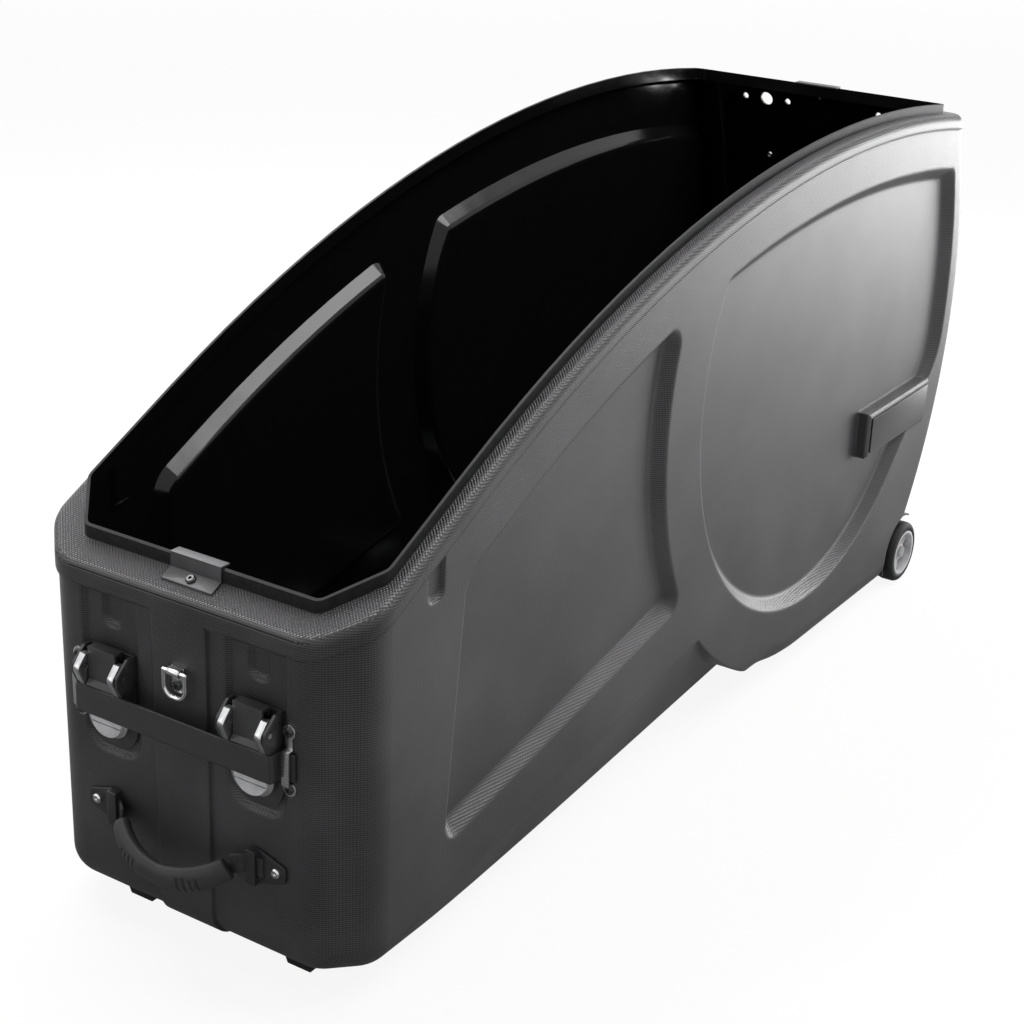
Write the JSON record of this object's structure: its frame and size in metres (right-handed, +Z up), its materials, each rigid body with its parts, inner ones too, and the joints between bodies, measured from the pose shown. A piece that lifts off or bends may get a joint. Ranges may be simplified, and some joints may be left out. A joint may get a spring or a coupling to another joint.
{
  "type": "bike travel case",
  "caption": "Open hard-shell tub of a bicycle travel case with draw latches, carry handle, lock ring, feet, transport wheels and an inside rail that holds the frame.",
  "frame": {"origin": "middle of the case on the ground", "axes": "+X from the latch end to the wheel end, +Y to the left when looking that way, +Z up"},
  "size_m": [1.3959, 0.396, 0.6753],
  "materials": {
    "shell": "embossed matte black",
    "black_steel": "satin black",
    "steel": "zinc plated",
    "black_plastic": "matte",
    "grey_plastic": "satin",
    "rubber": "matte",
    "tyre": "matte",
    "webbing": "woven",
    "aluminium": "satin",
    "plate": "satin"
  },
  "bodies": {
    "case": {"anchor_rivets": "steel", "base_shell": "shell", "bike_rail": "aluminium", "clip_screws": "black_steel", "foot_screws": "steel", "front_foot_left": "rubber", "front_foot_right": "rubber", "front_lid_clip": "black_steel", "handle_bracket_left": "black_plastic", "handle_bracket_right": "black_plastic", "handle_screws": "steel", "handle_webbing_left": "webbing", "handle_webbing_right": "webbing", "latch_base_left": "black_steel", "latch_base_right": "black_steel", "latch_pivot_pins": "steel", "latch_rivets": "steel", "latch_strap": "webbing", "lock_plate": "steel", "lock_plate_screw": "black_steel", "name_plate": "plate", "rail_screws": "steel", "rear_lid_clip": "black_steel", "rear_wall_bolts": "steel", "strap_anchor_left": "steel", "strap_anchor_right": "steel", "wheel_axle_left": "steel", "wheel_axle_right": "steel", "wheel_bracket_left": "black_plastic", "wheel_bracket_right": "black_plastic", "wheel_bracket_screws": "steel"},
    "latch_lever_left": {"latch_lever_left": "steel", "latch_tongue_left": "grey_plastic", "latch_hook_pin_left": "steel"},
    "latch_lever_right": {"latch_lever_right": "steel", "latch_tongue_right": "grey_plastic", "latch_hook_pin_right": "steel"},
    "latch_hook_left": {"latch_hook_left": "black_steel"},
    "latch_hook_right": {"latch_hook_right": "black_steel"},
    "lock_ring": {"lock_ring": "steel"},
    "handle": {"handle_grip": "rubber"},
    "wheel_left": {"wheel_hub_left": "grey_plastic", "wheel_tyre_left": "tyre"},
    "wheel_right": {"wheel_hub_right": "grey_plastic", "wheel_tyre_right": "tyre"},
    "fork_mount": {"fork_mount": "aluminium", "fork_skewer": "steel", "cam_pin": "steel", "skewer_nut": "aluminium"},
    "skewer_lever": {"skewer_lever": "aluminium"},
    "fork_mount_knob": {"fork_mount_knob": "black_plastic"},
    "frame_cradle": {"frame_cradle": "black_plastic", "cradle_pad": "rubber"},
    "cradle_knob": {"cradle_knob": "black_plastic"}
  },
  "joints": [
    {"name": "latch_lever_left_hinge", "type": "hinge", "parent": "case", "child": "latch_lever_left", "pos_m": [-0.666, 0.088, 0.281], "axis": [0, 1, 0], "range_deg": [0, 100], "deforming": ["latch_strap"]},
    {"name": "latch_hook_left_hinge", "type": "hinge", "parent": "latch_lever_left", "child": "latch_hook_left", "pos_m": [-0.6632, 0.088, 0.259], "axis": [0, 1, 0], "range_deg": [-100, 0]},
    {"name": "latch_lever_right_hinge", "type": "hinge", "parent": "case", "child": "latch_lever_right", "pos_m": [-0.666, -0.088, 0.281], "axis": [0, 1, 0], "range_deg": [0, 100], "deforming": ["latch_strap"]},
    {"name": "latch_hook_right_hinge", "type": "hinge", "parent": "latch_lever_right", "child": "latch_hook_right", "pos_m": [-0.6632, -0.088, 0.259], "axis": [0, 1, 0], "range_deg": [-100, 0]},
    {"name": "lock_ring_hinge", "type": "hinge", "parent": "case", "child": "lock_ring", "pos_m": [-0.66, 0, 0.305], "axis": [0, 1, 0], "range_deg": [0, 110]},
    {"name": "handle_hinge", "type": "hinge", "parent": "case", "child": "handle", "pos_m": [-0.6558, 0, 0.132], "axis": [0, 1, 0], "range_deg": [-30, 75], "deforming": ["handle_webbing_left", "handle_webbing_right"]},
    {"name": "wheel_left_spin", "type": "hinge", "parent": "case", "child": "wheel_left", "pos_m": [0.589, 0.185, 0.042], "axis": [0, 1, 0], "continuous": true},
    {"name": "wheel_right_spin", "type": "hinge", "parent": "case", "child": "wheel_right", "pos_m": [0.589, -0.185, 0.042], "axis": [0, 1, 0], "continuous": true},
    {"name": "fork_mount_slide", "type": "slide", "parent": "case", "child": "fork_mount", "axis": [1, 0, 0], "range_m": [-0.03, 0.15]},
    {"name": "skewer_lever_hinge", "type": "hinge", "parent": "fork_mount", "child": "skewer_lever", "pos_m": [-0.389, 0.0672, 0.128], "axis": [-1, 0, 0], "range_deg": [0, 160]},
    {"name": "fork_mount_knob_turn", "type": "hinge", "parent": "fork_mount", "child": "fork_mount_knob", "pos_m": [-0.389, -0.033, 0.042], "axis": [0, 1, 0], "continuous": true},
    {"name": "frame_cradle_slide", "type": "slide", "parent": "case", "child": "frame_cradle", "axis": [1, 0, 0], "range_m": [-0.15, 0.08]},
    {"name": "cradle_knob_turn", "type": "hinge", "parent": "frame_cradle", "child": "cradle_knob", "pos_m": [0.039, -0.033, 0.042], "axis": [0, 1, 0], "continuous": true}
  ],
  "couplings": [
    {"joint": "latch_hook_left_hinge", "follows": "latch_lever_left_hinge", "ratio": -1},
    {"joint": "latch_hook_right_hinge", "follows": "latch_lever_right_hinge", "ratio": -1}
  ]
}
